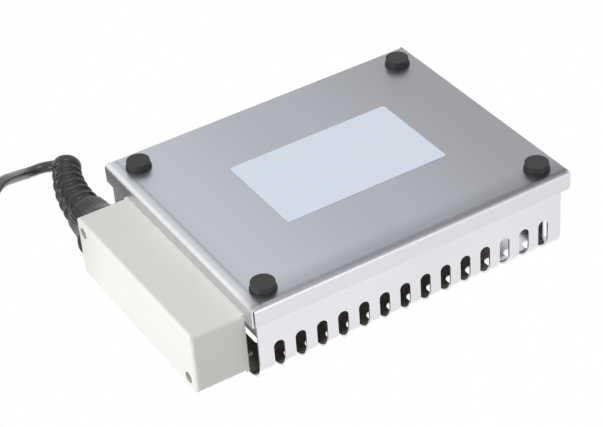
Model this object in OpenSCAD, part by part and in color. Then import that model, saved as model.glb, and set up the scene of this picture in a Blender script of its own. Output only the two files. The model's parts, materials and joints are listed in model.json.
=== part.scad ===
// Electric solder bath: folded stainless case with slotted cover, cast crucible,
// connection box with bend protection and a low-voltage supply lead.
// Millimetres. X runs along the case (connection box at +X), Y across it, Z up.
// Origin: on the standing surface, under the middle of the case with its box.

/* [Base tray] */
// Outer length of the tray along X
tray_l = 155; // [130:1:190]
// Outer width of the tray along Y
tray_w = 124.3; // [105:0.1:150]
// Height of the tray's skirts
skirt_h = 9.2; // [7:0.1:13]
// Sheet thickness of the tray
tray_sheet = 0.8; // [0.5:0.1:1]
// Outer bend radius of the tray
tray_bend = 2; // [1.2:0.1:3]
// Slit left open between neighbouring skirts at a corner
corner_slit = 1.2; // [0.8:0.1:2]

/* [Cover] */
// Height from the tray's underside to the cover's top face
cover_h = 40; // [34:0.5:55]
// Gap between the cover's end and the tray's end at the connection box
cover_end_gap = 2; // [2:0.1:4]
// Gap between the cover's end and the tray's other end
cover_far_gap = 4.6; // [2:0.1:8]
// Sheet thickness of the cover
cover_sheet = 0.8; // [0.5:0.1:1.2]
// Outer radius of the cover's large bends
cover_bend = 10; // [5:0.5:12]
// Width of the flanges that lie on the tray
flange_w = 18; // [16:0.5:24]
// Height of the folded lip at the cover's open end
lip_h = 10; // [6:0.5:14]
// Width of the flat between the bath's cut-out and the cover's ends
cut_end = 11; // [8:0.1:16]
// Width of the flat between the bath's cut-out and the cover's walls
cut_side = 21.2; // [17:0.1:28]

/* [Slots] */
// Number of slots on each long side
slot_n = 14; // [6:1:15]
// Distance between slots
slot_pitch = 10; // [8:0.1:10.4]
// Width of a slot
slot_w = 5; // [3:0.1:6]
// Distance from the tray's underside to a slot's lower end
slot_low = 20.8; // [14:0.1:24]
// How far a slot reaches into the top face, from the wall
slot_reach = 12.8; // [11:0.1:15]

/* [Bath] */
// Air gap between the cover's cut-out and the bath
air_gap = 4; // [2:0.1:6]
// How far the bath's rim stands above the cover
rim_rise = 3; // [1:0.1:5]
// Thickness of the bath's rim
rim_t = 2.4; // [1.5:0.1:4]
// Thickness of the insulation round the crucible
insulation_t = 7; // [4:0.1:9]
// Wall of the crucible
crucible_wall = 4; // [3:0.1:6]
// Thickness of the crucible's base, which holds the heaters
crucible_base = 10; // [9:0.1:13]
// Level of the solder below the rim
solder_drop = 5.6; // [4.5:0.1:9]
// Sheet thickness of the heat shield
shield_sheet = 0.6; // [0.4:0.1:1]
// Height of the standoffs under the heat shield
standoff_h = 8; // [5:0.5:10]

/* [Heaters] */
// Diameter of a heater cartridge
heater_d = 6.4; // [5:0.1:7]
// Length of a heater cartridge
heater_l = 86; // [60:1:95]
// Distance between heater cartridges
heater_pitch = 18; // [14:0.5:22]
// Diameter of the temperature sensor
sensor_d = 3; // [2:0.1:4]
// Diameter of the leads inside the case
wire_d = 1.8; // [1.2:0.1:2.2]

/* [Connection box] */
// Length of the box along Y
box_l = 97.7; // [80:0.1:110]
// Depth of the box along X
box_d = 24.2; // [22:0.1:32]
// Height of the box
box_h = 28.9; // [26:0.1:36]
// Height of the box's underside above the tray's underside
box_low = 6.2; // [5:0.1:8]
// How far the box's middle is set off along Y
box_shift = -6.5; // [-10:0.1:0]
// Thickness of the box's base plate
box_base_t = 1.4; // [1.2:0.1:3]
// Wall of the box
box_wall = 2; // [1.5:0.1:2.5]
// Rounding of the box's edges
box_round = 1.6; // [1:0.1:3]
// Diameter of the deep-set holes for the lid's screws
pit_d = 5; // [4.5:0.1:6]
// Distance of the deep-set holes from the box's long ends
pit_end = 5.6; // [5.5:0.1:8]
// Distance of the deep-set holes from the box's upper and lower sides
pit_side = 5.2; // [5.2:0.1:7]

/* [Feet] */
// Diameter of a foot where it meets the tray
foot_d = 11.3; // [9:0.1:14]
// Diameter of a foot's standing face
foot_face_d = 10.2; // [8:0.1:12]
// Height of a foot
foot_h = 3.6; // [3:0.1:8]
// Distance of the feet from the tray's ends
foot_inset_x = 10.9; // [10:0.1:12.5]
// Distance of the front feet from the tray's front edge
foot_inset_front = 9.2; // [8.5:0.1:12]
// Distance of the back feet from the tray's back edge
foot_inset_back = 11.8; // [8.5:0.1:12]

/* [Supply lead] */
// Diameter of the supply lead
lead_d = 5; // [4:0.1:5.2]
// Number of rings on the bend protection
ring_n = 5; // [3:1:5]
// Distance between the rings
ring_pitch = 5.3; // [4:0.1:5.4]
// Radius of the bend protection's foot
boot_foot_r = 13; // [11:0.1:13.5]
// Radius of the first ring
ring_r1 = 8.3; // [7.5:0.1:9]
// Radius of the last ring
ring_r2 = 6.6; // [6:0.1:7]
// Depth of the grooves between the rings
groove = 1.2; // [0.6:0.1:1.6]
// Turns side by side in the stored coil
coil_rows = 3; // [2:1:4]
// Diameter across the middle of the stored coil's turns
coil_mid_d = 60; // [50:1:70]

/* [Plug] */
// Diameter of the plug's grip
plug_d = 14; // [12:0.5:16]
// Length of the plug's grip
plug_l = 19; // [15:0.5:22]
// Number of contact pins
pin_n = 7; // [3:1:7]

/* [Fits] */
// Clearance of a sheet inside its neighbour
sheet_fit = 0.1; // [0.1:0.05:0.4]
// Radial clearance of screws, leads and cartridges in their holes
hole_fit = 0.25; // [0.15:0.05:0.5]

/* [Hidden] */
$fn = 48;
cut = 1;                                // overshoot of every cutter

// Case along X: the tray and the box together are centred on the origin
case_l = tray_l + box_d;
tray_x0 = -case_l / 2;
tray_x1 = tray_x0 + tray_l;
tray_cx = (tray_x0 + tray_x1) / 2;
box_x1 = case_l / 2;
tray_y = tray_w / 2;
tray_z = foot_h;                        // underside of the tray
floor_z = tray_z + tray_sheet;          // inner floor of the tray
skirt_z = tray_z + skirt_h;

// Cover
cover_x0 = tray_x0 + cover_far_gap;
cover_x1 = tray_x1 - cover_end_gap;
cover_l = cover_x1 - cover_x0;
cover_cx = (cover_x0 + cover_x1) / 2;
cover_y = tray_y - tray_sheet - sheet_fit;
cover_z0 = floor_z;
cover_z1 = tray_z + cover_h;
foot_bend = tray_bend;                  // outer radius of the flanges' bends
lip_bend = 1.5;                         // outer radius of the lip's bend
cut_l = cover_l - 2 * cut_end;
cut_w = 2 * cover_y - 2 * cut_side;
cut_r = 4;
slot_x = [for (i = [0:slot_n - 1]) cover_cx + (i - (slot_n - 1) / 2) * slot_pitch];

// Bath, from the outside in
shield_l = cut_l - 2 * air_gap;
shield_w = cut_w - 2 * air_gap;
shield_x1 = cover_cx + shield_l / 2;
shield_z0 = floor_z + standoff_h;
rim_z1 = cover_z1 + rim_rise;
rim_z0 = rim_z1 - rim_t;
body_l = shield_l - 2 * (shield_sheet + insulation_t);
body_w = shield_w - 2 * (shield_sheet + insulation_t);
body_x1 = cover_cx + body_l / 2;
body_z0 = shield_z0 + shield_sheet + insulation_t;
pool_l = body_l - 2 * crucible_wall;
pool_w = body_w - 2 * crucible_wall;
pool_z0 = body_z0 + crucible_base;
solder_z = rim_z1 - solder_drop;
heater_z = body_z0 + crucible_base / 2;
heater_y = [for (i = [-1:1]) i * heater_pitch];
sensor_y = heater_pitch / 2;
standoff_d = 6;
standoff_x = shield_l / 2 - 12;
standoff_y = shield_w / 2 - 10;

// End plate and connection box
plate_x1 = tray_x1 - tray_sheet;        // outer face of the end plate, on the skirt
plate_x0 = plate_x1 - cover_sheet;
plate_y = cover_y - flange_w - 1;
plate_flange = 8;
box_y0 = box_shift - box_l / 2;
box_y1 = box_shift + box_l / 2;
box_z0 = tray_z + box_low;
box_z1 = box_z0 + box_h;
seam_x = tray_x1 + box_base_t;          // inner face of the base plate and the seam
lid_in = box_x1 - box_wall;
pits = [[box_y1 - pit_end, box_z0 + pit_side], [box_y0 + pit_end, box_z1 - pit_side]];
pit_floor = seam_x + 4;                 // the lid's ledge under each screw's head
ledge_t = 2;
pit_tube = pit_d + 2.4;
mid_z = (box_z0 + box_z1) / 2;
box_screw_y = [box_y0 + 24, box_y1 - 31];
box_screw_z = box_z0 + 6.6;
box_screw_d = 3;
nut_d = 7;

// Leads from the bath to the terminal block
grommet_y = box_y0 + 24;
wire_z = heater_z;
wire_gap = 3;
bush_l = 4 * wire_gap + wire_d;
block_y0 = grommet_y + bush_l / 2 + 5;
block_l = 22;
block_d = 14;
block_h = 16;

// Supply lead inside the box
lead_x = seam_x + 10.6;
lead_z = mid_z - 0.65;
core_d = 1.4;
lead_stop = block_y0 + block_l + 9;     // the sheath ends here, its cores go on
clamp_y = box_y1 - 20;
clamp_w = 6;
clamp_half = 8;

// Bend protection: its middle line is one curve from the box's face to its mouth
boot_curve = [[lead_x, box_y1, lead_z], [lead_x + 0.6, box_y1 + 15.6, lead_z - 0.8],
  [lead_x + 3.6, box_y1 + 31.2, lead_z - 3.3], [lead_x - 6.4, box_y1 + 48.2, lead_z - 6.3]];
cone_l = 16;
ring_first = 21.1;
crest_w = 1.5;
collar_l = 5;
neck_r = 4;
boot_steps = 40;

// Route of the free lead: hand-chosen points from the mouth down to the stored coil
lead_route = [[73.9, 85.5, 18.3], [72.4, 89.4, 18.3], [73, 93.9, 19.3],
  [75.5, 97.5, 20.6], [79.2, 99.9, 21.4], [83.5, 100.4, 21.6], [87.6, 99.1, 20.4],
  [90.8, 96.4, 18.2], [94.4, 92.4, 15.2], [98.8, 87.2, 11.3], [103.4, 81.8, 7.3],
  [108.4, 76.2, 4.3], [113.6, 69.9, 2.7], [119.3, 62.9, 2.5], [125.5, 55.5, 2.5],
  [132.3, 48, 2.5]];
coil_c = [163, 73.8];
coil_layers = 2;
coil_out = coil_mid_d / 2 + coil_rows * lead_d / 2;
coil_in = coil_mid_d / 2 - coil_rows * lead_d / 2;
coil_h = coil_layers * lead_d;

// Plug, beside the coil: its axis is in line with the top layer's outer turn
plug_y = coil_c[1] + coil_out - lead_d / 2;
plug_z = plug_d / 2;
plug_boot_l = 11;
plug_x = coil_c[0] - 24;                // rear end of the plug's boot
sleeve_l = 8;
sleeve_d = plug_d - 1;

// ---------- functions and helpers ----------

function unit(v) = v / norm(v);

// Point and direction on a cubic curve
function on_curve(c, t) = pow(1 - t, 3) * c[0] + 3 * t * pow(1 - t, 2) * c[1]
  + 3 * t * t * (1 - t) * c[2] + pow(t, 3) * c[3];
function along_curve(c, t) = unit(pow(1 - t, 2) * (c[1] - c[0])
  + 2 * t * (1 - t) * (c[2] - c[1]) + t * t * (c[3] - c[2]));

// Table of [length along the curve, parameter], to place rings by distance
function curve_table(c, n, i = 0, s = 0) = i > n ? [] : concat([[s, i / n]],
  curve_table(c, n, i + 1, s + norm(on_curve(c, (i + 1) / n) - on_curve(c, i / n))));

// Directions along a list of points
function directions(p) = [for (i = [0:len(p) - 1])
  unit(p[min(i + 1, len(p) - 1)] - p[max(i - 1, 0)])];

// One ring of points round c, square to the direction d
function ring(c, d, r, n) = let (u = unit(cross(d, [0, 0, 1])), v = cross(u, d))
  [for (k = [0:n - 1]) c + r * (cos(360 * k / n) * u + sin(360 * k / n) * v)];

// A closed skin over a list of [centre, direction, radius]
module skin(stations, n) {
  m = len(stations);
  points = [for (s = stations) each ring(s[0], s[1], s[2], n)];
  sides = [for (i = [0:m - 2], k = [0:n - 1]) let (a = i * n + k, b = i * n + (k + 1) % n)
    each [[a, b + n, a + n], [a, b, b + n]]];
  first = [[for (k = [n - 1:-1:0]) k]];
  last = [[for (k = [0:n - 1]) (m - 1) * n + k]];
  polyhedron(points, concat(sides, first, last), convexity = 10);
}

// A round tube along a list of points
module swept(points, d, n) {
  dirs = directions(points);
  skin([for (i = [0:len(points) - 1]) [points[i], dirs[i], d / 2]], n);
}

// Corner of a lead: an arc of radius r at p, from direction a to direction b
function bend_arc(p, a, b, r, n = 4) = [for (i = [0:n])
  p - r * a + r * sin(90 * i / n) * a + r * (1 - cos(90 * i / n)) * b];

// Rounded rectangle with true arcs, centred
module round_rect(l, w, r) {
  square([l - 2 * r, w], center = true);
  square([l, w - 2 * r], center = true);
  for (x = [-1, 1], y = [-1, 1])
    translate([x * (l / 2 - r), y * (w / 2 - r)]) circle(r);
}

module round_block(l, w, z0, z1, r) {
  translate([0, 0, z0]) linear_extrude(z1 - z0) round_rect(l, w, r);
}

// Quarter bend with a straight leg going up, in the XY plane: the leg's outer face is
// on x = 0, the sheet's lower face on y = 0
module folded_edge(height, sheet, bend) {
  quarter_bend(sheet, bend);
  translate([-sheet, bend]) square([sheet, height - bend]);
}

module quarter_bend(sheet, bend) {
  difference() {
    translate([-bend, bend]) circle(bend);
    translate([-bend, bend]) circle(bend - sheet);
    translate([-2 * bend - cut, -cut]) square([bend + cut, 2 * bend + 2 * cut]);
    translate([-2 * bend, bend]) square([2 * bend + cut, bend + cut]);
  }
}

// Cylinder along X or along Y
module rod_x(x0, x1, d) {
  translate([x0, 0, 0]) rotate([0, 90, 0]) cylinder(h = x1 - x0, d = d);
}

module rod_y(y0, y1, d) {
  translate([0, y0, 0]) rotate([-90, 0, 0]) cylinder(h = y1 - y0, d = d);
}

// Stadium-shaped bar along X, its long side along Y
module bar_x(x0, x1, l, w) {
  translate([x0, -(l - w) / 2, -w / 2]) cube([x1 - x0, l - w, w]);
  for (s = [-1, 1]) translate([0, s * (l - w) / 2, 0]) rod_x(x0, x1, w);
}

// Pan-head screw pointing down from z = 0, its head above
module pan_screw(d, length) {
  head_d = 1.9 * d;
  head_h = 0.7 * d;
  difference() {
    union() {
      translate([0, 0, head_h * 0.45]) cylinder(h = head_h * 0.55, d1 = head_d, d2 = head_d * 0.7);
      cylinder(h = head_h * 0.45, d = head_d);
    }
    for (a = [0, 90]) rotate(a) translate([-0.55 * d, -0.12 * d, 0.35 * d])
      cube([1.1 * d, 0.24 * d, d]);
  }
  translate([0, 0, -length]) cylinder(h = length, d = d);
}

module at_feet() {
  for (x = [tray_x0 + foot_inset_x, tray_x1 - foot_inset_x],
       y = [-tray_y + foot_inset_front, tray_y - foot_inset_back])
    translate([x, y, 0]) children();
}

module at_standoffs() {
  for (x = [-1, 1], y = [-1, 1])
    translate([cover_cx + x * standoff_x, y * standoff_y, 0]) children();
}

foot_screw_d = 3;
standoff_screw_d = 3;
standoff_thread = standoff_h - 1.5;

// ---------- case ----------

module base_tray() {
  color([0.69, 0.7, 0.74]) difference() {
    union() {
      translate([tray_cx, 0, tray_z]) linear_extrude(tray_sheet)
        square([tray_l - 2 * tray_bend, tray_w - 2 * tray_bend], center = true);
      for (s = [0, 180]) translate([tray_cx, 0, tray_z]) rotate(s) {
        translate([0, tray_y, 0]) rotate([90, 0, 90]) linear_extrude(
          tray_l - 2 * corner_slit, center = true) folded_edge(skirt_h, tray_sheet, tray_bend);
        translate([tray_l / 2, 0, 0]) rotate([90, 0, 0]) linear_extrude(
          tray_w - corner_slit, center = true) folded_edge(skirt_h, tray_sheet, tray_bend);
      }
    }
    at_feet() cylinder(h = 40, d = foot_screw_d + 2 * hole_fit, center = true);
  }
}

// Cross-section of the cover: wide bends above, flanges turned in below
module cover_section() {
  w = 2 * cover_y;
  h = cover_z1 - cover_z0;
  difference() {
    cover_outline(w, h, cover_bend, foot_bend);
    translate([0, cover_sheet]) cover_outline(w - 2 * cover_sheet, h - 2 * cover_sheet,
      cover_bend - cover_sheet, foot_bend - cover_sheet);
    translate([-(w / 2 - flange_w), -cut]) square([w - 2 * flange_w, h / 2]);
  }
}

module cover_outline(w, h, r_top, r_foot) {
  translate([-w / 2, r_foot]) square([w, h - r_foot - r_top]);
  translate([-w / 2 + r_top, h / 2]) square([w - 2 * r_top, h / 2]);
  translate([-w / 2 + r_foot, 0]) square([w - 2 * r_foot, h / 2]);
  for (s = [-1, 1]) {
    translate([s * (w / 2 - r_top), h - r_top]) circle(r_top, $fn = 96);
    translate([s * (w / 2 - r_foot), r_foot]) circle(r_foot);
  }
}

// One slot of the front wall, round at both ends, open through the bend
module slot_cutter() {
  low = tray_z + slot_low + slot_w / 2;
  reach = slot_reach - slot_w / 2;
  translate([-slot_w / 2, -cover_y - cut, low])
    cube([slot_w, reach + cut, cover_z1 + cut - low]);
  translate([0, -cover_y + reach, cover_z1 - cover_bend])
    cylinder(h = cover_bend + cut, d = slot_w);
  translate([0, 0, low]) rod_y(-cover_y - cut, -cover_y + cover_bend, slot_w);
}

module cover() {
  color([0.9, 0.89, 0.91]) {
    difference() {
      translate([cover_x0, 0, cover_z0]) rotate([90, 0, 90])
        linear_extrude(cover_l) cover_section();
      for (x = slot_x, s = [0, 180]) translate([x, 0, 0]) rotate(s) slot_cutter();
      translate([cover_cx, 0, 0])
        round_block(cut_l, cut_w, cover_z1 - 2, cover_z1 + cut, cut_r);
      at_feet() cylinder(h = 40, d = foot_screw_d + 2 * hole_fit, center = true);
      translate([cover_x0 - cut, -(cover_y - cover_bend - 1), cover_z1 - 2])
        cube([cut + lip_bend, 2 * (cover_y - cover_bend - 1), 2 + cut]);
    }
    cover_lip();
  }
}

// Lip turned down from the top face at the open end, clear of the wide bends
module cover_lip() {
  width = 2 * (cover_y - cover_bend - 1);
  translate([cover_x0, 0, cover_z1]) rotate([-90, 0, 0])
    linear_extrude(width, center = true) mirror([1, 0]) folded_edge(lip_h, cover_sheet, lip_bend);
}

// Solid outline of the end plate's channel: its web's outer face is on x = 0
module channel_outline(l, h, r) {
  translate([-l, 0]) square([l - r, h]);
  translate([-r - cut / 2, r]) square([r + cut / 2, h - 2 * r]);
  for (y = [r, h - r]) translate([-r, y]) circle(r);
}

module end_plate() {
  h = cover_z1 - cover_sheet - floor_z;
  color([0.78, 0.78, 0.8]) difference() {
    translate([plate_x1, 0, floor_z]) rotate([90, 0, 0])
      linear_extrude(2 * plate_y, center = true) difference() {
        channel_outline(plate_flange, h, foot_bend);
        translate([-cover_sheet, cover_sheet])
          channel_outline(plate_flange, h - 2 * cover_sheet, foot_bend - cover_sheet);
      }
    translate([0, grommet_y, wire_z])
      bar_x(plate_x0 - cut, plate_x1 + cut, bush_l + 2, wire_d + 4);
    for (y = box_screw_y) translate([0, y, box_screw_z])
      rod_x(plate_x0 - cut, plate_x1 + cut, box_screw_d + 2 * hole_fit);
  }
}

module press_nuts() {
  color([0.7, 0.7, 0.72]) for (y = box_screw_y) translate([0, y, box_screw_z]) difference() {
    rod_x(plate_x0 - 3, plate_x0, nut_d);
    rod_x(plate_x0 - 3 - cut, plate_x0 + cut, box_screw_d + 2 * hole_fit);
  }
}

// ---------- bath ----------

module heat_shield() {
  in_l = shield_l - 2 * shield_sheet;
  in_w = shield_w - 2 * shield_sheet;
  color([0.45, 0.4, 0.36]) translate([cover_cx, 0, 0]) difference() {
    round_block(shield_l, shield_w, shield_z0, rim_z0, 3);
    round_block(in_l, in_w, shield_z0 + shield_sheet, rim_z0 + cut, 3 - shield_sheet);
    for (x = [-1, 1], y = [-1, 1]) translate([x * standoff_x, y * standoff_y, shield_z0 - cut])
      cylinder(h = 4, d = standoff_screw_d + 2 * hole_fit);
    for (y = concat(heater_y, [sensor_y])) translate([0, y, heater_z])
      rod_x(0, shield_l, wire_d + 2);
  }
}

module insulation() {
  fit = hole_fit;
  color([0.88, 0.86, 0.8]) translate([cover_cx, 0, 0]) difference() {
    round_block(shield_l - 2 * shield_sheet - fit, shield_w - 2 * shield_sheet - fit,
      shield_z0 + shield_sheet, rim_z0, 2.2);
    round_block(body_l + fit, body_w + fit, body_z0, rim_z0 + cut, 5);
    for (y = heater_y) translate([0, y, heater_z]) rod_x(0, shield_l, heater_d + 2 * fit);
    translate([0, sensor_y, heater_z]) rod_x(0, shield_l, sensor_d + 2 * fit);
    for (x = [-1, 1], y = [-1, 1]) translate([x * standoff_x, y * standoff_y, shield_z0])
      cylinder(h = 4.5, d = 7);
  }
}

// Cast crucible: thick base with the heaters' bores, rim that covers the insulation
module crucible() {
  color([0.3, 0.3, 0.31]) translate([cover_cx, 0, 0]) difference() {
    union() {
      round_block(body_l, body_w, body_z0, rim_z1 - cut / 2, 5);
      round_block(shield_l, shield_w, rim_z0, rim_z1, 3);
    }
    round_block(pool_l, pool_w, pool_z0, rim_z1 + cut, 4);
    for (y = heater_y) translate([0, y, heater_z])
      rod_x(body_l / 2 - heater_l, body_l, heater_d + 2 * hole_fit);
    translate([0, sensor_y, heater_z]) rod_x(body_l / 2 - 30, body_l, sensor_d + 2 * hole_fit);
  }
}

module solder_charge() {
  color([0.8, 0.8, 0.82]) translate([cover_cx, 0, 0])
    round_block(pool_l, pool_w, pool_z0, solder_z, 4);
}

module heater_cartridges() {
  color([0.72, 0.7, 0.66]) for (y = heater_y) translate([0, y, heater_z])
    rod_x(body_x1 - heater_l + 0.5, body_x1 + insulation_t - 1, heater_d);
}

module temperature_sensor() {
  color([0.75, 0.75, 0.76]) translate([0, sensor_y, heater_z])
    rod_x(body_x1 - 29.5, body_x1 + insulation_t - 1, sensor_d);
}

module standoffs() {
  color([0.8, 0.8, 0.82]) at_standoffs() translate([0, 0, floor_z]) difference() {
    cylinder(h = standoff_h, d = standoff_d);
    translate([0, 0, standoff_h - standoff_thread])
      cylinder(h = standoff_thread + cut, d = standoff_screw_d);
  }
}

module standoff_screws() {
  color([0.75, 0.75, 0.77]) at_standoffs() translate([0, 0, shield_z0 + shield_sheet])
    pan_screw(standoff_screw_d, shield_sheet + standoff_thread - 0.5);
}

// Leads in L-shaped nested runs: out of the bath, along the end plate, through the
// bush and round to the terminal block
lead_from = [heater_pitch, sensor_y, 0, -heater_pitch];
module bath_leads() {
  x_out = body_x1 + insulation_t - 1;
  color([0.85, 0.8, 0.72]) for (i = [0:3]) {
    run_x = plate_x0 - 3 - i * wire_gap;
    y_in = grommet_y + (1.5 - i) * wire_gap;
    back_x = seam_x + 3 + i * wire_gap;
    z = wire_z;
    r = 1.3 * wire_d;
    swept(concat(
      [[x_out, lead_from[i], z]],
      bend_arc([run_x, lead_from[i], z], [1, 0, 0], [0, -1, 0], r),
      bend_arc([run_x, y_in, z], [0, -1, 0], [1, 0, 0], r),
      bend_arc([back_x, y_in, z], [1, 0, 0], [0, 1, 0], r),
      [[back_x, block_y0, z]]), wire_d, 8);
  }
}

module grommet() {
  l = bush_l + 2;
  w = wire_d + 4;
  color([0.15, 0.15, 0.16]) translate([0, grommet_y, wire_z]) difference() {
    union() {
      bar_x(plate_x0, seam_x, l, w);
      bar_x(plate_x0 - 1.2, plate_x0, l + 3, w + 3);
    }
    bar_x(plate_x0 - 2, seam_x + cut, bush_l, wire_d + 1);
  }
}

// ---------- connection box ----------

module box_base() {
  lip = 2;
  color([0.78, 0.79, 0.76]) difference() {
    union() {
      translate([tray_x1, box_y0, box_z0]) cube([box_base_t, box_l, box_h]);
      for (y = box_screw_y) translate([0, y, box_screw_z]) rod_x(plate_x1, seam_x, nut_d);
      for (p = pits) translate([0, p[0], p[1]]) rod_x(tray_x1, pit_floor - ledge_t, pit_tube);
      translate([seam_x, 0, 0]) base_rim(lip);
    }
    for (y = box_screw_y) translate([0, y, box_screw_z])
      rod_x(plate_x1 - cut, seam_x + cut, box_screw_d + 2 * hole_fit);
    for (p = pits) translate([0, p[0], p[1]]) rod_x(tray_x1 + 0.5, pit_floor, 2.5);
    translate([0, grommet_y, wire_z]) bar_x(plate_x1, seam_x + cut, bush_l + 2, wire_d + 4);
  }
}

// Low rim on the base plate that centres the lid
module base_rim(h) {
  l = box_l - 2 * box_wall - 0.4;
  w = box_h - 2 * box_wall - 0.4;
  translate([0, box_shift, mid_z]) rotate([90, 0, 90]) linear_extrude(h) difference() {
    square([l, w], center = true);
    square([l - 2.4, w - 2.4], center = true);
  }
}

// Outer form of the lid: edges rounded along all three directions on the open side
module lid_block(grow, x0, x1, r) {
  l = box_l + 2 * grow;
  h = box_h + 2 * grow;
  d = x1 - x0;
  intersection() {
    translate([x0, box_shift, mid_z]) rotate([90, 0, 90]) linear_extrude(d) round_rect(l, h, r);
    translate([x0, box_shift, mid_z]) rotate([90, 0, 0])
      linear_extrude(l, center = true) half_round(d, h, r);
    translate([x0, box_shift, mid_z]) linear_extrude(h, center = true) half_round(d, l, r);
  }
}

// Rectangle from x = 0 to d, its two far corners rounded
module half_round(d, w, r) {
  translate([0, -w / 2]) square([d - r, w]);
  translate([0, -w / 2 + r]) square([d, w - 2 * r]);
  for (s = [-1, 1]) translate([d - r, s * (w / 2 - r)]) circle(r);
}

module box_lid() {
  color([0.82, 0.83, 0.8]) difference() {
    union() {
      difference() {
        lid_block(0, seam_x, box_x1, box_round);
        translate([-cut, 0, 0]) lid_block(-box_wall, seam_x, lid_in + cut, 0.6);
      }
      intersection() {
        for (p = pits) translate([0, p[0], p[1]]) rod_x(pit_floor - ledge_t, lid_in + cut / 2, pit_tube);
        lid_block(-0.5, seam_x, box_x1, box_round);
      }
    }
    for (p = pits) translate([0, p[0], p[1]]) {
      rod_x(pit_floor, box_x1 + cut, pit_d);
      rod_x(seam_x, pit_floor + cut, 3 + 2 * hole_fit);
    }
    for (p = pits) translate([0, p[0], p[1]])
      rod_x(seam_x - cut, pit_floor - ledge_t, pit_tube + 0.4);
    translate([lead_x, 0, lead_z]) rod_y(box_y1 - box_wall - cut, box_y1 + cut, 2 * neck_r + 0.2);
  }
}

module lid_screws() {
  color([0.75, 0.75, 0.77]) for (p = pits) translate([pit_floor, p[0], p[1]])
    rotate([0, 90, 0]) pan_screw(2.5, 4.6);
}

module box_screws() {
  color([0.75, 0.75, 0.77]) for (y = box_screw_y) translate([seam_x, y, box_screw_z])
    rotate([0, 90, 0]) pan_screw(box_screw_d, seam_x - plate_x0 + 3);
}

module terminal_block() {
  n = 4;
  pole = block_l / n;
  color([0.93, 0.92, 0.88]) translate([seam_x, block_y0, mid_z - block_h / 2]) difference() {
    cube([block_d, block_l, block_h]);
    for (i = [0:n - 1]) translate([block_d, (i + 0.5) * pole, 0])
      for (z = [4, block_h - 4]) translate([-3, 0, z]) rotate([0, 90, 0]) cylinder(h = 4, d = 3.4);
    for (i = [1:n - 1]) translate([block_d - 2, i * pole - 0.4, -cut])
      cube([2 + cut, 0.8, block_h + 2 * cut]);
  }
}

module lead_cores() {
  color([0.7, 0.45, 0.3]) for (a = [90, 210, 330])
    translate([lead_x + 1.35 * cos(a), 0, lead_z + 1.35 * sin(a)])
      rod_y(block_y0 + block_l, lead_stop, core_d);
}

module clamp_saddle() {
  color([0.2, 0.2, 0.21]) difference() {
    translate([seam_x, clamp_y - clamp_w / 2, lead_z - clamp_half])
      cube([lead_x - seam_x, clamp_w, 2 * clamp_half]);
    translate([lead_x, 0, lead_z]) rod_y(clamp_y - 10, clamp_y + 10, lead_d);
    for (s = [-1, 1]) translate([0, clamp_y, lead_z + s * 5.4]) rod_x(seam_x + 2, box_x1, 2);
  }
}

module clamp_bar() {
  x0 = lead_x + 0.4;
  color([0.2, 0.2, 0.21]) difference() {
    translate([x0, clamp_y - clamp_w / 2, lead_z - clamp_half])
      cube([lead_d / 2 + 1.6, clamp_w, 2 * clamp_half]);
    translate([lead_x, 0, lead_z]) rod_y(clamp_y - 10, clamp_y + 10, lead_d);
    for (s = [-1, 1]) translate([0, clamp_y, lead_z + s * 5.4])
      rod_x(seam_x, box_x1, 2 + 2 * hole_fit);
  }
}

module clamp_screws() {
  x = lead_x + 0.4 + lead_d / 2 + 1.6;
  color([0.75, 0.75, 0.77]) for (s = [-1, 1]) translate([x, clamp_y, lead_z + s * 5.4])
    rotate([0, 90, 0]) pan_screw(2, 9);
}

// ---------- bend protection and lead ----------

boot_map = curve_table(boot_curve, boot_steps);
boot_l = boot_map[boot_steps][0];
function boot_at(s, r) = let (t = lookup(s, boot_map))
  [on_curve(boot_curve, t), along_curve(boot_curve, t), r];
function ring_r(i) = ring_r1 + (ring_r2 - ring_r1) * i / max(ring_n - 1, 1);

// A station a little beyond the curve's end
function past_mouth(s, r) = let (e = boot_at(boot_l, r)) [e[0] + s * e[1], e[1], r];

// A station on the straight stretch before the curve
function before_boot(y, r) = [[lead_x, y, lead_z], [0, 1, 0], r];

module bend_protection() {
  inside = box_y1 - box_wall;
  r_end = ring_r2 - 0.1;
  neck = [before_boot(inside - 1.8, neck_r + 0.8), before_boot(inside - 0.3, neck_r + 0.8),
    before_boot(inside, neck_r), before_boot(box_y1, neck_r), before_boot(box_y1, boot_foot_r)];
  flare = [for (a = [0:15:90]) [1.4 + (cone_l - 6) * a / 90, boot_foot_r - 3.2 * sin(a)]];
  rings = [for (i = [0:ring_n - 1], k = [0:3]) let (r = ring_r(i), side = k < 2 ? -1 : 1,
    foot = k == 0 || k == 3)
    [ring_first + i * ring_pitch + side * (crest_w / 2 + (foot ? 0.5 : 0)), foot ? r - groove : r]];
  collar = [[boot_l - collar_l, ring_r2 - groove - 0.1], [boot_l - collar_l + 0.5, r_end],
    [boot_l - 1.4, r_end], [boot_l - 0.4, r_end - 0.5], [boot_l, r_end - 1.2]];
  body = concat(flare, [[cone_l, 9.3], [cone_l + 0.6, ring_r1 - groove + 0.4]], rings, collar);
  bore = lead_d / 2 + hole_fit;
  color([0.16, 0.16, 0.18]) difference() {
    skin(concat(neck, [for (o = body) boot_at(o[0], o[1])]), 32);
    skin(concat([before_boot(inside - 5, bore), before_boot(box_y1, bore)],
      [for (s = [6:6:boot_l - 8]) boot_at(s, bore)],
      [boot_at(boot_l - 6, bore + 0.2), boot_at(boot_l - 3, bore + 1.4),
      past_mouth(1, bore + 2.3)]), 16);
  }
}

module lead_entry() {
  color([0.22, 0.22, 0.24]) skin(concat([before_boot(lead_stop, lead_d / 2)],
    [before_boot(box_y1, lead_d / 2)],
    [for (s = [6:6:boot_l - 8]) boot_at(s, lead_d / 2)], [boot_at(boot_l - 6, lead_d / 2)]), 12);
}

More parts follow.
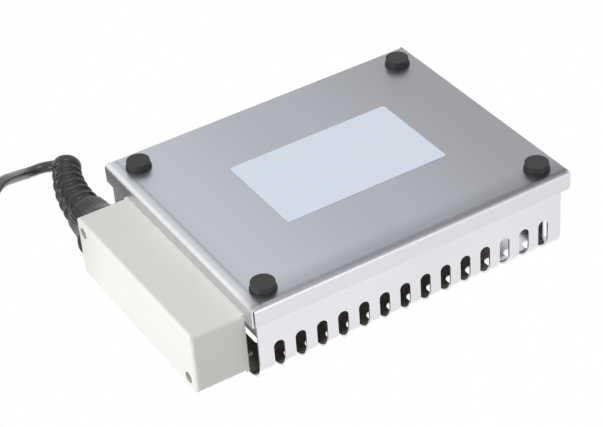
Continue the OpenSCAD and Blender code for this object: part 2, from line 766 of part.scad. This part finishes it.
module lead_tube() {
  start = boot_at(boot_l - 6, lead_d / 2);
  points = concat([start[0]], [for (i = [1:len(lead_route) - 1]) lead_route[i]]);
  dirs = directions(points);
  color([0.22, 0.22, 0.24]) skin(concat([start],
    [for (i = [1:len(points) - 1]) [points[i], dirs[i], lead_d / 2]]), 10);
}

module lead_coil() {
  r = lead_d / 2;
  color([0.22, 0.22, 0.24]) translate([coil_c[0], coil_c[1], coil_h / 2])
    rotate_extrude($fn = 64) translate([coil_mid_d / 2, 0])
      round_rect(coil_rows * lead_d, coil_h, r * 0.9);
}

module lead_end() {
  color([0.22, 0.22, 0.24]) translate([0, plug_y, plug_z]) rod_x(plug_x, coil_c[0] - 18.75, lead_d);
}

// ---------- plug ----------

module plug_boot() {
  color([0.1, 0.1, 0.11]) translate([plug_x, plug_y, plug_z]) rotate([0, -90, 0]) difference() {
    union() {
      cylinder(h = plug_boot_l, d1 = lead_d + 2.4, d2 = plug_d * 0.66);
      for (z = [1.2:2.4:plug_boot_l - 3]) translate([0, 0, z]) cylinder(h = 1.1, d = plug_d * 0.62);
    }
    translate([0, 0, -cut]) cylinder(h = 0.5 + cut, d = lead_d - 1);
  }
}

module plug_grip() {
  color([0.08, 0.08, 0.09]) translate([plug_x - plug_boot_l, plug_y, plug_z])
    rotate([0, -90, 0]) difference() {
      rotate_extrude() polygon([[0, 0], [plug_d * 0.36, 0], [plug_d * 0.46, 1.2], [plug_d / 2, 4],
        [plug_d / 2, plug_l - 1], [plug_d / 2 - 0.8, plug_l], [0, plug_l]]);
      for (a = [0:30:330]) rotate(a) translate([plug_d / 2 + 0.5, 0, 5])
        cylinder(h = plug_l - 8, d = 2, $fn = 16);
    }
}

module plug_sleeve() {
  color([0.8, 0.8, 0.82]) translate([plug_x - plug_boot_l - plug_l, plug_y, plug_z])
    rotate([0, -90, 0]) difference() {
      cylinder(h = sleeve_l, d = sleeve_d);
      translate([0, 0, 1]) cylinder(h = sleeve_l, d = sleeve_d - 1.2);
      translate([sleeve_d / 2 - 1, -1, 3]) cube([2, 2, sleeve_l]);
    }
}

module plug_insert() {
  color([0.75, 0.68, 0.4]) translate([plug_x - plug_boot_l - plug_l - 1, plug_y, plug_z])
    rotate([0, -90, 0]) {
      cylinder(h = 2, d = sleeve_d - 1.2 - 2 * hole_fit);
      for (i = [0:pin_n - 1]) rotate(i * 300 / max(pin_n - 1, 1) - 150)
        translate([sleeve_d * 0.27, 0, 0]) cylinder(h = sleeve_l - 2, d = 1.2, $fn = 16);
    }
}

// ---------- feet ----------

module feet() {
  color([0.13, 0.13, 0.14]) at_feet() difference() {
    union() {
      cylinder(h = foot_h - 0.9, d1 = foot_face_d, d2 = foot_d - 0.8);
      translate([0, 0, foot_h - 0.9]) cylinder(h = 0.9, d = foot_d);
    }
    translate([0, 0, 1]) cylinder(h = foot_h, d = foot_screw_d);
  }
}

module foot_screws() {
  color([0.75, 0.75, 0.77]) at_feet() translate([0, 0, floor_z + cover_sheet])
    pan_screw(foot_screw_d, floor_z + cover_sheet - 1.2);
}

base_tray();
cover();
end_plate();
heat_shield();
insulation();
crucible();
solder_charge();
heater_cartridges();
temperature_sensor();
standoffs();
standoff_screws();
bath_leads();
grommet();
press_nuts();
box_base();
box_lid();
box_screws();
lid_screws();
terminal_block();
lead_cores();
clamp_saddle();
clamp_bar();
clamp_screws();
bend_protection();
lead_entry();
lead_tube();
lead_coil();
lead_end();
plug_boot();
plug_grip();
plug_sleeve();
plug_insert();
feet();
foot_screws();
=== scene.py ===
import json
import math

import bpy
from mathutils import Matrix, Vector


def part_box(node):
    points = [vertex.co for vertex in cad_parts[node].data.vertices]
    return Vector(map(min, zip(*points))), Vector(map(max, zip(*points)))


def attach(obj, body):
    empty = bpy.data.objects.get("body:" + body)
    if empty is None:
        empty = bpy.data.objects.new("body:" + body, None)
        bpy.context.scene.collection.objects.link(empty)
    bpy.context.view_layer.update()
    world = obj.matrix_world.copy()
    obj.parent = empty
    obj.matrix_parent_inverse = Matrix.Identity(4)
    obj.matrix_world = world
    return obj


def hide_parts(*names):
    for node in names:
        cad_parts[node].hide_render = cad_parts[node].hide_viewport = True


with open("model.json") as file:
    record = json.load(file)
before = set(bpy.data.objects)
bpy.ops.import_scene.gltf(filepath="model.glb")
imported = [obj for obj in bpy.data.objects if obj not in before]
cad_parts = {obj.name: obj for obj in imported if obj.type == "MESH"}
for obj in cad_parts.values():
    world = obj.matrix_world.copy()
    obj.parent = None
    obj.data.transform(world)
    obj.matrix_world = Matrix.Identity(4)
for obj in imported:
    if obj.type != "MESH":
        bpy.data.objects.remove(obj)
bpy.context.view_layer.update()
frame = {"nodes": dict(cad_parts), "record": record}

MM = 0.001
scene = bpy.context.scene
scene.view_settings.view_transform = "Standard"

# ---------- camera: below the standing surface, as the pot lies on its back ----------

cam_data = bpy.data.cameras.new("camera")
cam_data.sensor_width = 36
cam_data.lens = 117.7
cam_data.clip_start = 0.01
cam_data.clip_end = 50
camera = bpy.data.objects.new("camera", cam_data)
camera.location = (0.3327, -0.5876, -0.4743)
camera.rotation_euler = [math.radians(a) for a in (-126.43, -3.80, -148.07)]
scene.collection.objects.link(camera)
scene.camera = camera


# ---------- helpers ----------

def link(obj):
    scene.collection.objects.link(obj)
    return obj


def mesh_piece(name, verts, faces, smooth=True):
    me = bpy.data.meshes.new(name)
    me.from_pydata([tuple(v) for v in verts], [], faces)
    me.validate()
    me.update()
    for p in me.polygons:
        p.use_smooth = smooth
    return link(bpy.data.objects.new(name, me))


def catmull(points, per=8):
    """Points on a smooth curve through the given ones."""
    p = [Vector(q) for q in points]
    p = [2 * p[0] - p[1]] + p + [2 * p[-1] - p[-2]]
    out = []
    for i in range(1, len(p) - 2):
        a, b, c, d = p[i - 1:i + 3]
        for k in range(per):
            t = k / per
            out.append(0.5 * (2 * b + (c - a) * t + (2 * a - 5 * b + 4 * c - d) * t ** 2
                              + (3 * b - 3 * c + d - a) * t ** 3))
    out.append(p[-2])
    return out


def ring_frame(direction):
    """Two directions square to the given one, to set a ring of points on."""
    u = direction.cross(Vector((0, 0, 1))).normalized()
    return u, u.cross(direction).normalized()


# ---------- materials ----------

def material(name, colour, metallic=0.0, rough=0.5, specular=0.5):
    mat = bpy.data.materials.new(name)
    mat.use_nodes = True
    nodes = mat.node_tree.nodes
    bsdf = nodes["Principled BSDF"]
    bsdf.inputs["Base Color"].default_value = (*colour, 1)
    bsdf.inputs["Metallic"].default_value = metallic
    bsdf.inputs["Roughness"].default_value = rough
    bsdf.inputs["Specular IOR Level"].default_value = specular
    return mat, mat.node_tree, bsdf


def noise(tree, scale, detail=4.0, stretch=(1, 1, 1), rough=0.5):
    coord = tree.nodes.new("ShaderNodeTexCoord")
    mapping = tree.nodes.new("ShaderNodeMapping")
    mapping.inputs["Scale"].default_value = stretch
    tex = tree.nodes.new("ShaderNodeTexNoise")
    tex.inputs["Scale"].default_value = scale
    tex.inputs["Detail"].default_value = detail
    tex.inputs["Roughness"].default_value = rough
    tree.links.new(coord.outputs["Object"], mapping.inputs["Vector"])
    tree.links.new(mapping.outputs["Vector"], tex.inputs["Vector"])
    return tex.outputs["Fac"]


def vary(tree, source, target, low, high):
    """target follows source between two values, or between two colours."""
    ramp = tree.nodes.new("ShaderNodeValToRGB")
    ramp.color_ramp.elements[0].position = 0.3
    ramp.color_ramp.elements[1].position = 0.7
    for element, value in zip(ramp.color_ramp.elements, (low, high)):
        element.color = (*value, 1) if isinstance(value, tuple) else (value, value, value, 1)
    tree.links.new(source, ramp.inputs["Fac"])
    tree.links.new(ramp.outputs["Color"], target)


def bump(tree, bsdf, source, strength, distance):
    node = tree.nodes.new("ShaderNodeBump")
    node.inputs["Strength"].default_value = strength
    node.inputs["Distance"].default_value = distance
    tree.links.new(source, node.inputs["Height"])
    tree.links.new(node.outputs["Normal"], bsdf.inputs["Normal"])


def tint(tree, bsdf, colour, scale, spread):
    """Base colour that drifts a little round the given one."""
    low, high = (tuple(c * k for c in colour) for k in (1 - spread, 1 + spread))
    vary(tree, noise(tree, scale, 3), bsdf.inputs["Base Color"], low, high)


def brushed(name, colour, rough, grain):
    """Metal with a fine grain, stretched along the axis whose grain value is 1."""
    mat, tree, bsdf = material(name, colour, 1.0, rough)
    fine = noise(tree, 60, 5, grain, 0.6)
    vary(tree, fine, bsdf.inputs["Roughness"], rough - 0.05, rough + 0.05)
    bump(tree, bsdf, fine, 0.06, 0.0002)
    return mat, tree, bsdf


def sheet_metal(name, colour, rough, spread=0.06, grain=(1, 30, 30)):
    mat, tree, bsdf = brushed(name, colour, rough, grain)
    tint(tree, bsdf, colour, 14, spread)
    return mat


def moulded(name, colour, rough, grain=900, depth=0.00008, strength=0.35, spread=0.05):
    mat, tree, bsdf = material(name, colour, 0.0, rough)
    tint(tree, bsdf, colour, 25, spread)
    bump(tree, bsdf, noise(tree, grain, 2), strength, depth)
    return mat


TRAY = (0.42, 0.43, 0.49)
# Painted light: the tray's skirts get this brighter colour of the same steel as the underside.
SKIRT_PAINTED_BRIGHTER = (0.64, 0.63, 0.66)
COVER = (0.74, 0.73, 0.76)


def ramp_along(tree, source, low, high, stops):
    """Colour ramp over source, from low to high."""
    ramp = tree.nodes.new("ShaderNodeValToRGB")
    ramp.color_ramp.interpolation = "EASE"
    elements = ramp.color_ramp.elements
    while len(elements) < len(stops):
        elements.new(0.5)
    for element, (position, colour) in zip(elements, stops):
        element.position = position
        element.color = (*colour, 1)
    tree.links.new(share(tree, source, low, high), ramp.inputs["Fac"])
    return ramp.outputs["Color"]


def parts_of(tree, output):
    """X, Y and Z of one of Texture Coordinate's outputs."""
    coord = tree.nodes.new("ShaderNodeTexCoord")
    split = tree.nodes.new("ShaderNodeSeparateXYZ")
    tree.links.new(coord.outputs[output], split.inputs[0])
    return split.outputs


def share(tree, source, low, high):
    """0 where source is low, 1 where it is high."""
    span = tree.nodes.new("ShaderNodeMapRange")
    span.inputs["From Min"].default_value = low
    span.inputs["From Max"].default_value = high
    tree.links.new(source, span.inputs["Value"])
    return span.outputs["Result"]


def colour_mix(tree, blend):
    node = tree.nodes.new("ShaderNodeMix")
    node.data_type = "RGBA"
    node.blend_type = blend
    return node


def tray_metal():
    """Folded sheet, satin, with painted light in its colour: painted shade darkens the
    underside towards one end and along the front bend, a painted dark crease line and a painted
    highlight follow the bend at the other end, and the skirts are painted brighter."""
    mat, tree, bsdf = brushed("tray_steel", TRAY, 0.36, (30, 1, 30))
    place = parts_of(tree, "Object")
    normal = parts_of(tree, "Normal")
    down = tree.nodes.new("ShaderNodeMath")
    down.operation = "ABSOLUTE"
    tree.links.new(normal["Z"], down.inputs[0])
    # Painted light along X: painted shade darkening towards -X, a painted dark line in the
    # crease and a painted highlight on the bend at +X.
    painted_light_along_x = ramp_along(tree, place["X"], -0.085, 0.0654,
                      [(0, (0.34, 0.345, 0.37)), (0.5, (0.42, 0.435, 0.475)),
                       (0.93, (0.5, 0.52, 0.57)), (0.96, (0.49, 0.51, 0.56)),
                       (0.966, (0.36, 0.37, 0.41)), (0.972, (0.52, 0.54, 0.58)),
                       (0.982, (0.6, 0.61, 0.64)), (1, (0.95, 0.95, 0.96))])
    # Painted shade: the colour darkens along the front bend.
    front = ramp_along(tree, place["Y"], -0.062, -0.048,
                       [(0, (0.45, 0.45, 0.45)), (0.12, (0.55, 0.55, 0.55)),
                        (0.3, (0.8, 0.8, 0.8)), (1, (1, 1, 1))])
    both = colour_mix(tree, "MULTIPLY")
    both.inputs["Factor"].default_value = 1
    tree.links.new(painted_light_along_x, both.inputs["A"])
    tree.links.new(front, both.inputs["B"])
    # Painted light: faces that point neither up nor down, the skirts, take the brighter skirt
    # colour.
    whole = colour_mix(tree, "MIX")
    tree.links.new(share(tree, down.outputs[0], 0.3, 0.9), whole.inputs["Factor"])
    whole.inputs["A"].default_value = (*SKIRT_PAINTED_BRIGHTER, 1)
    tree.links.new(both.outputs["Result"], whole.inputs["B"])
    tree.links.new(whole.outputs["Result"], bsdf.inputs["Base Color"])
    return mat


def cover_metal():
    """Bright folded sheet, with a broken line of painted shade in the gap above the skirts."""
    mat = sheet_metal("cover_steel", COVER, 0.24, 0.03)
    tree = mat.node_tree
    bsdf = tree.nodes["Principled BSDF"]
    # Painted shade in the gap between the cover and the skirts, broken up by noise.
    gap_painted_shade = ramp_along(tree, parts_of(tree, "Object")["Z"], 0.0124, 0.0134,
                       [(0, (0.15, 0.13, 0.12)), (0.55, (0.2, 0.18, 0.17)), (0.75, (1, 1, 1))])
    broken = share(tree, noise(tree, 90, 3, (1, 0.2, 0.2)), 0.42, 0.52)
    both = colour_mix(tree, "MULTIPLY")
    tree.links.new(broken, both.inputs["Factor"])
    base = bsdf.inputs["Base Color"].links[0]
    tree.links.new(base.from_socket, both.inputs["A"])
    tree.links.new(gap_painted_shade, both.inputs["B"])
    tree.links.new(both.outputs["Result"], bsdf.inputs["Base Color"])
    return mat


finishes = {
    "tray_steel": tray_metal(),
    "cover_steel": cover_metal(),
    "plate_steel": sheet_metal("plate_steel", (0.6, 0.6, 0.63), 0.3),
    "shield_steel": sheet_metal("shield_steel", (0.2, 0.17, 0.15), 0.4, 0.3),
    "standoff_steel": sheet_metal("standoff_steel", (0.6, 0.6, 0.62), 0.3),
    "screw_steel": sheet_metal("screw_steel", (0.62, 0.62, 0.65), 0.28),
    "lid_screw_steel": sheet_metal("lid_screw_steel", (0.4, 0.4, 0.42), 0.35),
    "nut_steel": sheet_metal("nut_steel", (0.55, 0.55, 0.57), 0.3),
    "heater_steel": sheet_metal("heater_steel", (0.45, 0.42, 0.38), 0.35),
    "sensor_steel": sheet_metal("sensor_steel", (0.6, 0.6, 0.6), 0.3),
    "solder": sheet_metal("solder", (0.75, 0.75, 0.77), 0.18, 0.08, (1, 1, 1)),
    "plug_metal": sheet_metal("plug_metal", (0.7, 0.7, 0.72), 0.2),
    "plug_contacts": sheet_metal("plug_contacts", (0.75, 0.6, 0.3), 0.25),
    "cast_pot": moulded("cast_pot", (0.07, 0.07, 0.075), 0.55, 500, 0.0002, 0.5, 0.25),
    "mineral_board": moulded("mineral_board", (0.6, 0.58, 0.52), 0.9, 400, 0.0003, 0.6, 0.1),
    "glass_sleeve": moulded("glass_sleeve", (0.6, 0.55, 0.45), 0.8, 1500, 0.0002, 0.6, 0.1),
    "black_rubber": moulded("black_rubber", (0.02, 0.02, 0.022), 0.5),
    "box_plastic": moulded("box_plastic", (0.73, 0.74, 0.69), 0.5, 1400, 0.00006, 0.4, 0.02),
    "terminal_plastic": moulded("terminal_plastic", (0.7, 0.68, 0.62), 0.5),
    "core_insulation": moulded("core_insulation", (0.35, 0.12, 0.05), 0.4),
    "clamp_plastic": moulded("clamp_plastic", (0.03, 0.03, 0.032), 0.5),
    "boot_rubber": moulded("boot_rubber", (0.022, 0.022, 0.027), 0.3, 1200, 0.00005, 0.3, 0.15),
    "lead_sheath": moulded("lead_sheath", (0.05, 0.05, 0.055), 0.28, 1200, 0.00004, 0.25, 0.1),
    "plug_rubber": moulded("plug_rubber", (0.02, 0.02, 0.022), 0.45),
    "plug_plastic": moulded("plug_plastic", (0.02, 0.02, 0.022), 0.35),
    "foot_rubber": moulded("foot_rubber", (0.015, 0.015, 0.017), 0.55, 1000, 0.00006, 0.4, 0.2),
}

for sub in frame["record"]["subparts"]:
    node = frame["nodes"][sub["node"]]
    mat = finishes[sub["material_slot"]]
    node.data.materials.clear()
    node.data.materials.append(mat)

# ---------- bend protection ----------

# The same middle line and profile as the part's source
boot_curve = [Vector(p) for p in ((77.4, 42.35, 23.6), (78, 57.95, 22.8), (81, 73.55, 20.3),
                                  (71, 90.55, 17.3))]
FOOT_R = 13
FLARE = 3.2
CONE_L = 16
RIB_N = 36
RIB_DEPTH = 0.28
RING_N = 5
RING_PITCH = 5.3
RING_FIRST = 21.1
FIRST_RING_R = 8.3
LAST_RING_R = 6.6
SIDES = 144
STEPS = 400


def on_boot(t):
    a, b, c, d = boot_curve
    return (1 - t) ** 3 * a + 3 * t * (1 - t) ** 2 * b + 3 * t * t * (1 - t) * c + t ** 3 * d


def boot_slope(t):
    a, b, c, d = boot_curve
    return ((1 - t) ** 2 * (b - a) + 2 * t * (1 - t) * (c - b) + t * t * (d - c)).normalized()


lengths = [0.0]
for i in range(STEPS):
    lengths.append(lengths[-1] + (on_boot((i + 1) / STEPS) - on_boot(i / STEPS)).length)
boot_l = lengths[-1]


def boot_t(s):
    """Curve parameter at a distance s along the boot."""
    for i in range(STEPS):
        if lengths[i + 1] >= s:
            return (i + (s - lengths[i]) / (lengths[i + 1] - lengths[i])) / STEPS
    return 1.0


profile = [(0, FOOT_R - 0.5), (0.3, FOOT_R)]
profile += [(1.4 + 10 * a / 90, FOOT_R - FLARE * math.sin(math.radians(a)))
            for a in range(0, 91, 10)]
profile += [(13.5, 9.55), (CONE_L - 0.4, 9.3), (CONE_L, 9.0), (CONE_L + 0.6, 7.5),
            (CONE_L + 1.6, 7.1)]
for i in range(RING_N):
    r = FIRST_RING_R + (LAST_RING_R - FIRST_RING_R) * i / (RING_N - 1)
    middle = RING_FIRST + i * RING_PITCH
    profile += [(middle - 1.9, r - 1.25), (middle - 1.2, r - 1.1), (middle - 0.8, r - 0.35),
                (middle - 0.45, r), (middle + 0.45, r), (middle + 0.8, r - 0.35),
                (middle + 1.2, r - 1.1), (middle + 1.9, r - 1.3)]
profile = [(s, r) for s, r in profile if s < boot_l - 5.2]
profile += [(boot_l - 5, 5.3), (boot_l - 4.6, 6.1), (boot_l - 4, 6.5), (boot_l - 1.4, 6.45),
            (boot_l - 0.5, 6.0), (boot_l - 0.1, 5.5), (boot_l, 4.8), (boot_l - 0.6, 4.2),
            (boot_l - 3, 3.7), (boot_l - 6, 2.9)]
verts = []
for s, r in profile:
    t = boot_t(s)
    centre, direction = on_boot(t), boot_slope(t)
    u, v = ring_frame(direction)
    ribbed = 2.5 < s < CONE_L - 1
    for k in range(SIDES):
        a = 2 * math.pi * k / SIDES
        rib = RIB_DEPTH * (0.5 + 0.5 * math.cos(RIB_N * a)) if ribbed else 0.0
        verts.append((centre + (r - rib) * (math.cos(a) * u + math.sin(a) * v)) * MM)
faces = []
for i in range(len(profile) - 1):
    for k in range(SIDES):
        a, b = i * SIDES + k, i * SIDES + (k + 1) % SIDES
        faces.append((a, b, b + SIDES, a + SIDES))
faces.append(tuple(range(SIDES))[::-1])
faces.append(tuple((len(profile) - 1) * SIDES + k for k in range(SIDES)))
boot = mesh_piece("boot", verts, faces)
boot.data.materials.append(finishes["boot_rubber"])
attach(boot, "root")
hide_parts("bend_protection")

# ---------- supply lead ----------

LEAD_D = 5 * MM
coil_c = Vector((163, 73.8, 0))

# The free stretch, as in the part's source, from inside the boot down to the coil
route = [(73.72, 85.28, 18.22), (72.4, 89.4, 18.3), (73, 93.9, 19.3), (75.5, 97.5, 20.6),
         (79.2, 99.9, 21.4), (83.5, 100.4, 21.6), (87.6, 99.1, 20.4), (90.8, 96.4, 18.2),
         (94.4, 92.4, 15.2), (98.8, 87.2, 11.3), (103.4, 81.8, 7.3),
         (108.4, 76.2, 4.3), (113.6, 69.9, 2.7), (119.3, 62.9, 2.5), (125.5, 55.5, 2.5)]


def ease(u):
    return u * u * (3 - 2 * u)


INNER_R = 25.0
PITCH = 5
LOW_Z, HIGH_Z = 2.52, 7.5
TURNS = 3
SECTOR = 120.0          # a turn changes its radius within this many degrees
ENTRY = 220             # where the lead meets the coil, and the sector of the lower layer
UPPER_SECTOR = 240      # the upper layer's sector, from the foot of the climb
EXIT = 950              # where the upper layer ends, from the foot of the climb
STEP = 6                # degrees between points


def coil_points():
    """Three turns inward on the lower layer, three outward on the upper one. Every turn
    changes its radius in the same sector, so neighbours stay one lead apart."""
    out = []
    climb = ENTRY + TURNS * 360
    for deg in range(ENTRY, climb, STEP):
        turn, past = divmod(deg - float(ENTRY), 360)
        u = ease(min(past / SECTOR, 1))
        r = INNER_R + PITCH * (TURNS - turn - math.sin(u * math.pi / 2))
        out.append((deg, r, LOW_Z))
    for deg in range(climb, climb + int(SECTOR) + 1, STEP):
        u = ease((deg - climb) / SECTOR)
        out.append((deg, INNER_R, LOW_Z + (HIGH_Z - LOW_Z) * math.sin(u * math.pi / 2)))
    for deg in range(climb + int(SECTOR) + STEP, climb + EXIT + 1, STEP):
        turn, past = divmod(deg - (climb + UPPER_SECTOR), 360)
        r = INNER_R + PITCH * (turn + ease(min(past / SECTOR, 1))) if turn >= 0 else INNER_R
        out.append((deg, min(r, INNER_R + 2 * PITCH), HIGH_Z))
    return [coil_c + Vector((r * math.cos(math.radians(d)), r * math.sin(math.radians(d)), z))
            for d, r, z in out]


plug_lo, plug_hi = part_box("plug_boot")
plug_rear = Vector((plug_hi.x, (plug_lo.y + plug_hi.y) / 2, (plug_lo.z + plug_hi.z) / 2)) / MM
tail = [(158, 108.9, 7.5), (152, 108.9, 7.3), (146, 108.8, 7.1), tuple(plug_rear)]
line = [p * MM for p in catmull(route + [tuple(p) for p in coil_points()] + tail, 3)]

curve = bpy.data.curves.new("supply_lead", "CURVE")
curve.dimensions = "3D"
curve.bevel_depth = LEAD_D / 2
curve.bevel_resolution = 6
curve.use_fill_caps = True
spline = curve.splines.new("POLY")
spline.points.add(len(line) - 1)
for point, place in zip(spline.points, line):
    point.co = (*place, 1)
spline.use_smooth = True
curve.materials.append(finishes["lead_sheath"])
supply_lead = link(bpy.data.objects.new("supply_lead", curve))
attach(supply_lead, "root")
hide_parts("lead_tube", "lead_coil", "lead_end")

# ---------- bare label on the tray's underside ----------

tray_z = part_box("base_tray")[0].z
label_x = (-54.6 * MM, 23.9 * MM)
label_y = (-22.05 * MM, 25.65 * MM)
label_t = 0.12 * MM
label_r = 1.2 * MM
edge = []
for cx, cy, first in ((label_x[1] - label_r, label_y[1] - label_r, 0),
                      (label_x[0] + label_r, label_y[1] - label_r, 90),
                      (label_x[0] + label_r, label_y[0] + label_r, 180),
                      (label_x[1] - label_r, label_y[0] + label_r, 270)):
    for a in range(first, first + 91, 15):
        edge.append((cx + label_r * math.cos(math.radians(a)),
                     cy + label_r * math.sin(math.radians(a))))
n = len(edge)
verts = [(x, y, tray_z - label_t) for x, y in edge] + [(x, y, tray_z) for x, y in edge]
faces = [list(range(n))[::-1], [n + i for i in range(n)]]
faces += [[i, (i + 1) % n, n + (i + 1) % n, n + i] for i in range(n)]
label = mesh_piece("label_blank", verts, faces, False)
label_mat, label_tree, label_bsdf = material("label_film", (0.74, 0.82, 0.93), 0.0, 0.35)
vary(label_tree, noise(label_tree, 30, 3), label_bsdf.inputs["Roughness"], 0.3, 0.4)
label.data.materials.append(label_mat)
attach(label, "root")

# ---------- floor, background and light ----------

FLOOR = 6
floor = mesh_piece("floor", [(-FLOOR, -FLOOR, 0), (FLOOR, -FLOOR, 0), (FLOOR, FLOOR, 0),
                             (-FLOOR, FLOOR, 0)], [(0, 1, 2, 3)], False)
floor_mat, floor_tree, floor_bsdf = material("floor", (0.82, 0.82, 0.82), 0.0, 0.9, 0.1)
# One-sided: clear from below, where the camera is
geometry = floor_tree.nodes.new("ShaderNodeNewGeometry")
clear = floor_tree.nodes.new("ShaderNodeBsdfTransparent")
mix = floor_tree.nodes.new("ShaderNodeMixShader")
output = floor_tree.nodes["Material Output"]
floor_tree.links.new(geometry.outputs["Backfacing"], mix.inputs["Fac"])
floor_tree.links.new(floor_bsdf.outputs["BSDF"], mix.inputs[1])
floor_tree.links.new(clear.outputs["BSDF"], mix.inputs[2])
floor_tree.links.new(mix.outputs["Shader"], output.inputs["Surface"])
floor.data.materials.append(floor_mat)
# Light and reflections of the underside pass it as well
floor.visible_shadow = False
floor.visible_diffuse = False
floor.visible_glossy = False

# White where it is seen, reflected or seen through, and half as strong as light
world = bpy.data.worlds.new("world")
scene.world = world
world.use_nodes = True
wt = world.node_tree
background = wt.nodes["Background"]
white = wt.nodes.new("ShaderNodeBackground")
white.inputs["Color"].default_value = (1, 1, 1, 1)
background.inputs["Color"].default_value = (1, 1, 1, 1)
background.inputs["Strength"].default_value = 0.5
path = wt.nodes.new("ShaderNodeLightPath")
first = wt.nodes.new("ShaderNodeMath")
first.operation = "MAXIMUM"
second = wt.nodes.new("ShaderNodeMath")
second.operation = "MAXIMUM"
wmix = wt.nodes.new("ShaderNodeMixShader")
wt.links.new(path.outputs["Is Camera Ray"], first.inputs[0])
wt.links.new(path.outputs["Is Glossy Ray"], first.inputs[1])
wt.links.new(first.outputs[0], second.inputs[0])
wt.links.new(path.outputs["Is Transmission Ray"], second.inputs[1])
wt.links.new(second.outputs[0], wmix.inputs["Fac"])
wt.links.new(background.outputs[0], wmix.inputs[1])
wt.links.new(white.outputs[0], wmix.inputs[2])
wt.links.new(wmix.outputs[0], wt.nodes["World Output"].inputs["Surface"])


def lamp(name, place, size, power):
    data = bpy.data.lights.new(name, "AREA")
    data.shape = "DISK"
    data.size = size
    data.energy = power
    obj = link(bpy.data.objects.new(name, data))
    obj.location = place
    obj.rotation_euler = (-Vector(place)).to_track_quat("-Z", "Y").to_euler()


lamp("lamp_under", (0.1, -0.2, -1.6), 0.9, 7)
lamp("lamp_right", (1.6, -0.1, -0.2), 0.9, 18.5)
lamp("lamp_front", (-0.4, -1.7, 0.5), 0.9, 3)
lamp("lamp_top", (-0.3, 0.2, 1.8), 1.0, 12)
